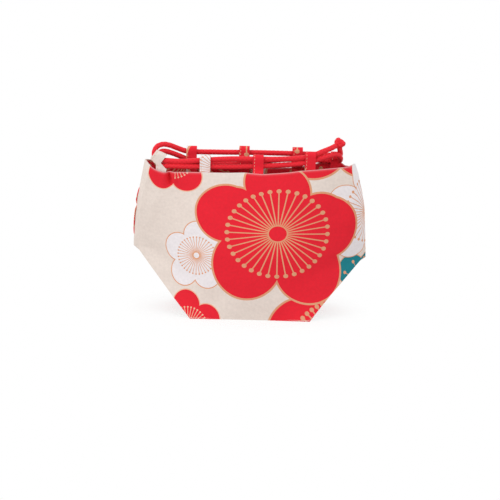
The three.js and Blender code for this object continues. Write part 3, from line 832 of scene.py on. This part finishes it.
def tab_grid(s, name, x, side, cord_y, top):
    """A strip of cloth that leaves the hem, goes over the cord and comes back to the hem"""
    edge = abs(x) * MM + s.tab_width / 2
    rim = rim_z(s, edge) / MM + float(rim_shift(x, side))
    hem = face_depth(s, edge, rim_z(s, edge) - 4 * MM, s.lining_inset + s.lining) / MM
    thick, half = s.tab_cloth / MM, (s.tab_bore + s.tab_cloth) / 2 / MM
    top -= thick / 2
    root = s.tab_root / MM
    first = hem - TAB_SEAT - thick / 2
    second = first - thick - TAB_LAYERS
    low = min(first, cord_y + half)
    path = [(first, rim - root), (first, rim - root / 2), (first, rim - 0.6), (low, rim + 3.5)]
    path += [(cord_y + half * math.cos(a), top - half + half * math.sin(a))
             for a in np.linspace(0, math.pi, TAB_BEND)]
    path += [(cord_y - half, top - half - 4), (cord_y - half, rim + 3),
             (second, rim - 1.6), (second, rim - root / 2), (second, rim - root)]
    line = smooth_route([(0, y, z) for y, z in path], TAB_STEP)
    across = np.linspace(-0.5, 0.5, TAB_COLUMNS)
    run = run_along(line)
    crown = TAB_CROWN * (1 - (2 * across) ** 2)
    above = ramp(line[:, [2]], rim, TAB_FREE)
    heights, sway, slant = TAB_SWAY.get(name, ((0, 1), (0, 0), 0))
    px = x + across * s.tab_width / MM + above * np.interp(line[:, [2]], heights, sway)
    py = line[:, [1]] + above * crown * np.sign(line[:, [1]] - cord_y)
    pz = line[:, [2]] + above * slant * across * s.tab_width / MM
    points = np.stack(np.broadcast_arrays(px, side * py, pz), -1) * MM
    width = (across + 0.5) * s.tab_width / MM
    cloth = np.stack(np.broadcast_arrays(width, run[:, None] - root), -1)
    if side == FRONT:
        return points, cloth, np.zeros(cloth.shape[:2])
    return points[:, ::-1], cloth[:, ::-1], np.zeros(cloth.shape[:2])


def stitch_tree(finish):
    """Short rounded stitches at even steps along every curve that it is given"""
    tree = bpy.data.node_groups.new("Run of stitches", "GeometryNodeTree")
    tree.interface.new_socket(name="Geometry", in_out="INPUT", socket_type="NodeSocketGeometry")
    for name in ("Stitch", "Gap", "Thread"):
        tree.interface.new_socket(name=name, in_out="INPUT", socket_type="NodeSocketFloat")
    tree.interface.new_socket(name="Geometry", in_out="OUTPUT", socket_type="NodeSocketGeometry")
    given = tree.nodes.new("NodeGroupInput").outputs
    pace = put(tree, "ShaderNodeMath", {0: given["Stitch"], 1: given["Gap"]}, operation="ADD")
    places = put(
        tree, "GeometryNodeCurveToPoints", {"Curve": given["Geometry"], "Length": pace}, mode="LENGTH")
    bead = put(tree, "GeometryNodeMeshUVSphere", {"Segments": 6, "Rings": 5, "Radius": 0.5})
    thread = given["Thread"]
    scale = put(tree, "ShaderNodeCombineXYZ", {0: thread, 1: thread, 2: given["Stitch"]})
    laid = put(tree, "GeometryNodeInstanceOnPoints", {
        "Points": places, "Instance": bead, "Rotation": places.outputs["Rotation"], "Scale": scale})
    real = put(tree, "GeometryNodeRealizeInstances", {"Geometry": laid})
    dyed = put(tree, "GeometryNodeSetMaterial", {"Geometry": real, "Material": finish})
    put(tree, "NodeGroupOutput", {"Geometry": dyed})
    return tree


def stitched(name, lines, s, finish):
    """A piece of sewn thread along lines of points"""
    curve = bpy.data.curves.new(name, "CURVE")
    curve.dimensions = "3D"
    for line in lines:
        spline = curve.splines.new("POLY")
        spline.points.add(len(line) - 1)
        spline.points.foreach_set("co", np.column_stack([line, np.ones(len(line))]).ravel())
    guide = placed(name + "_guide", curve)
    tree = stitch_tree(finish)
    sewing = guide.modifiers.new("Stitches", "NODES")
    sewing.node_group = tree
    sizes = {"Stitch": s.stitch, "Gap": s.stitch_gap, "Thread": s.thread}
    for item in tree.interface.items_tree:
        if item.in_out == "INPUT" and item.name in sizes:
            sewing[item.identifier] = sizes[item.name]
    graph = bpy.context.evaluated_depsgraph_get()
    mesh = bpy.data.meshes.new_from_object(guide.evaluated_get(graph))
    mesh.name = name
    mesh.shade_smooth()
    bpy.data.objects.remove(guide)
    return placed(name, mesh)


# Operators


class BAG_OT_cord(bpy.types.Operator):
    """Lay the braided cord twice round the mouth and knot its ends"""
    bl_idname = "bag.cord"
    bl_label = "Cord"

    def execute(self, context):
        s = context.scene.bag_sizes
        finish = finish_named("Braided polyester cord", braided_polyester)
        route = smooth_route(CORD_ROUTE, CORD_STEP)
        cord = braided_tube("cord", route, s.cord / MM, s.braid / MM)
        cord.data.materials.append(finish)
        turn = np.linspace(0, 2 * math.pi, KNOT_STEPS, endpoint=False)
        out = 2 + np.cos(3 * turn)
        coil = np.stack([
            out * np.cos(2 * turn), KNOT_FLAT * np.sin(3 * turn), out * np.sin(2 * turn)], 1)
        loops = [braided_tube(
            "knot", coil * KNOT_SCALE + KNOT_PLACE, s.cord / MM * KNOT_CORD, s.braid / MM, closed=True)]
        for start, reach in KNOT_ENDS:
            along = np.linspace(0, 1, KNOT_END_STEPS)[:, None]
            line = np.array(start) + along * np.array(reach) + KNOT_PLACE
            loops.append(braided_tube("knot_end", line, s.cord / MM * KNOT_END_CORD, s.braid / MM))
        with context.temp_override(active_object=loops[0], selected_editable_objects=loops):
            bpy.ops.object.join()
        knot = loops[0]
        knot.data.materials.append(finish)
        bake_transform(cord)
        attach(knot, "cord")
        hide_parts("cord_upper_front", "cord_upper_back", "cord_lower_loop", "cord_inner_bend",
                    "cord_outer_bend")
        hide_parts("cord_knot")
        return {"FINISHED"}


class BAG_OT_walls(bpy.types.Operator):
    """Cut and fold the printed front, back, gussets and base"""
    bl_idname = "bag.walls"
    bl_label = "Printed walls"

    def execute(self, context):
        s = context.scene.bag_sizes
        finish = finish_named("Printed plum blossom cotton", printed_cotton)
        levels = np.linspace(0, s.ear_height, WALL_ROWS[0], endpoint=False)
        climbs = np.linspace(0, 1, WALL_ROWS[1], endpoint=False)
        drops = np.array(RIM_ROWS) * MM
        for name, side, offset in (("front", FRONT, (0, 0)), ("back", BACK, BACK_CUT)):
            grid = wall_grid(s, side, 0, levels, climbs[:-1], drops, 0)
            cloth_piece(f"{name}_panel", grid, s.cloth, finish, offset)
        for name, hand in (("left", -1), ("right", 1)):
            grid = gusset_grid(s, hand, 0)
            cloth_piece(f"{name}_gusset", grid, s.cloth, finish, GUSSET_CUT)
        cloth_piece("base_panel", base_grid(s, 0), s.cloth, finish, BASE_CUT)
        return {"FINISHED"}


class BAG_OT_lining(bpy.types.Operator):
    """Set the plain lining and the printed hem inside the walls"""
    bl_idname = "bag.lining"
    bl_label = "Lining and hem"

    def execute(self, context):
        s = context.scene.bag_sizes
        plain = finish_named("Plain lining cotton", plain_cotton)
        printed = finish_named("Printed plum blossom cotton", printed_cotton)
        inset = s.lining_inset
        levels = np.linspace(inset, s.ear_height, LINING_ROWS[0], endpoint=False)
        climbs = np.linspace(0, 1, LINING_ROWS[1])
        drops = np.linspace(s.hem_depth, 0, HEM_ROWS)
        for name, side in (("front", FRONT), ("back", BACK)):
            grid = wall_grid(s, side, inset, levels, climbs, [], s.hem_depth + LINING_GAP * MM)
            cloth_piece(f"{name}_lining", grid, s.lining, plain)
            grid = wall_grid(s, side, s.cloth + HEM_GAP * MM, [], [], drops, 0)
            # The facing is cut across the print
            grid = (grid[0], grid[1][..., ::-1], grid[2])
            cloth_piece(f"{name}_hem", grid, s.lining, printed, HEM_CUT)
        for name, hand in (("left", -1), ("right", 1)):
            grid = gusset_grid(s, hand, inset)
            cloth_piece(f"{name}_gusset_lining", grid, s.lining, plain)
        cloth_piece("base_lining", base_grid(s, inset), s.lining, plain)
        return {"FINISHED"}


class BAG_OT_tabs(bpy.types.Operator):
    """Fold the cloth tabs over the cord and stitch them down one edge"""
    bl_idname = "bag.tabs"
    bl_label = "Tabs"

    def execute(self, context):
        s = context.scene.bag_sizes
        finish = finish_named("Printed plum blossom cotton", printed_cotton)
        lines = []
        for name, x, side, cord_y, top, offset in TABS:
            grid = tab_grid(s, name, x, side, cord_y, top)
            cloth_piece(name, grid, s.tab_cloth, finish, offset, middle=True)
            points = grid[0]
            outward = np.cross(np.gradient(points, axis=1), np.gradient(points, axis=0))
            outward /= np.linalg.norm(outward, axis=2)[..., None]
            share = STITCH_INSET * (points.shape[1] - 1)
            column = points.shape[1] - 1 - share if side == BACK else share
            low, high = int(column), int(column) + 1
            part = column - low
            line = (1 - part) * points[:, low] + part * points[:, high]
            line = line + outward[:, low] * (s.tab_cloth / 2 + STITCH_LIFT * MM)
            lines.append(line[STITCH_ENDS[0]:-STITCH_ENDS[1]])
        thread = stitched("tab_stitches", lines, s, finish_named("Spun sewing thread", sewing_thread))
        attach(thread, "bag")
        return {"FINISHED"}


# Stage, in metres
AIM = Vector((0, 0, 0.08))
FLOOR_REACH = 0.4
# How much of the floor is seen under the bag, and from where to where it fades into the backdrop
FLOOR_SEEN = 0.4
FLOOR_FADE = (0.05, 0.13)
# Strength of the white studio's light on the bag; the backdrop itself is 1
STUDIO_LIGHT = 0.75
# Name, place, size and power of each lamp
LAMPS = (
    ("Key", (-1.3, -1.0, 0.7), 1.2, 11.0),
    ("Fill", (1.2, -0.9, 0.7), 1.2, 5.0),
    ("Top", (0.0, 0.1, 1.5), 1.4, 4.0),
)
# The photograph's view
CAMERA_LENS, CAMERA_SENSOR = 124.75, 36
CAMERA_SHIFT = (0.00166, -0.03427)
CAMERA_AWAY = 1.8
CAMERA_TURN, CAMERA_LIFT, CAMERA_ROLL = math.radians(0.456), math.radians(9.818), math.radians(1.353)


def studio_floor(colours):
    """Pale studio floor: matt, fading into the white backdrop away from the bag"""
    made, tree, shader = new_material("Pale studio floor")
    seen = seen_directly(tree)
    place = put(tree, "ShaderNodeTexCoord").outputs["Object"]
    away = put(tree, "ShaderNodeVectorMath", {0: place}, operation="LENGTH").outputs[1]
    near, far = FLOOR_FADE
    fade = put(tree, "ShaderNodeMapRange", {0: away, 1: near, 2: far, 3: FLOOR_SEEN, 4: 0.0})
    feeds = {0: seen, 6: (*colours.bounce, 1), 7: (*colours.floor, 1)}
    feed(tree, shader, {
        "Base Color": put(tree, "ShaderNodeMix", feeds, data_type="RGBA").outputs[2],
        "Alpha": put(tree, "ShaderNodeMix", {0: seen, 2: 1.0, 3: fade}),
        "Roughness": 0.9, "Specular IOR Level": 0.1})
    return made


class BAG_OT_stage(bpy.types.Operator):
    """Set the floor, the lights and the camera"""
    bl_idname = "bag.stage"
    bl_label = "Stage"

    def execute(self, context):
        self.lay_floor(context.scene)
        self.set_lights(context.scene)
        self.set_camera(context.scene)
        context.scene.view_settings.view_transform = "Standard"
        return {"FINISHED"}

    def lay_floor(self, scene):
        mesh = bpy.data.meshes.new("floor")
        square = ((-1, -1), (1, -1), (1, 1), (-1, 1))
        mesh.from_pydata([(x * FLOOR_REACH, y * FLOOR_REACH, 0) for x, y in square], [], [(0, 1, 2, 3)])
        mesh.materials.append(studio_floor(scene.bag_colours))
        placed("floor", mesh)

    def set_lights(self, scene):
        scene.world = bpy.data.worlds.new("Studio")
        scene.world.use_nodes = True
        sky = scene.world.node_tree
        strength = put(sky, "ShaderNodeMix", {0: seen_directly(sky), 2: STUDIO_LIGHT, 3: 1.0})
        feed(sky, sky.nodes["Background"], {0: (1, 1, 1, 1), 1: strength})
        for name, place, size, power in LAMPS:
            lamp = bpy.data.lights.new(name, "AREA")
            lamp.size, lamp.energy = size, power
            light = placed(name, lamp)
            light.location = place
            light.rotation_euler = (AIM - light.location).to_track_quat("-Z", "Y").to_euler()

    def set_camera(self, scene):
        lens = bpy.data.cameras.new("Camera")
        lens.lens, lens.sensor_width = CAMERA_LENS, CAMERA_SENSOR
        lens.shift_x, lens.shift_y = CAMERA_SHIFT
        camera = placed("Camera", lens)
        level = math.cos(CAMERA_LIFT)
        outward = Vector((
            math.sin(CAMERA_TURN) * level, -math.cos(CAMERA_TURN) * level, math.sin(CAMERA_LIFT)))
        camera.location = AIM + outward * CAMERA_AWAY
        camera.rotation_mode = "QUATERNION"
        upright = (-outward).to_track_quat("-Z", "Y")
        camera.rotation_quaternion = upright @ Quaternion((0, 0, 1), CAMERA_ROLL)
        scene.camera = camera


class BAG_PT_sidebar(bpy.types.Panel):
    """The bag's pieces, in the order that they are made"""
    bl_idname = "BAG_PT_sidebar"
    bl_label = "Bento Bag"
    bl_space_type = "VIEW_3D"
    bl_region_type = "UI"
    bl_category = "Bento Bag"

    def draw(self, context):
        for group in (context.scene.bag_sizes, context.scene.bag_colours):
            column = self.layout.column(align=True)
            for key in group.__annotations__:
                column.prop(group, key)
        for operator in OPERATORS:
            self.layout.operator(operator.bl_idname)


OPERATORS = (BAG_OT_cord, BAG_OT_walls, BAG_OT_lining, BAG_OT_tabs, BAG_OT_stage)
CLASSES = (BagSizes, BagColours, *OPERATORS, BAG_PT_sidebar)


def register():
    for item in CLASSES:
        bpy.utils.register_class(item)
    bpy.types.Scene.bag_sizes = bpy.props.PointerProperty(type=BagSizes)
    bpy.types.Scene.bag_colours = bpy.props.PointerProperty(type=BagColours)


def unregister():
    del bpy.types.Scene.bag_colours
    del bpy.types.Scene.bag_sizes
    for item in reversed(CLASSES):
        bpy.utils.unregister_class(item)


def main():
    register()
    bpy.ops.bag.stage()
    bpy.ops.bag.cord()
    bpy.ops.bag.walls()
    bpy.ops.bag.lining()
    bpy.ops.bag.tabs()


if __name__ == "__main__":
    main()
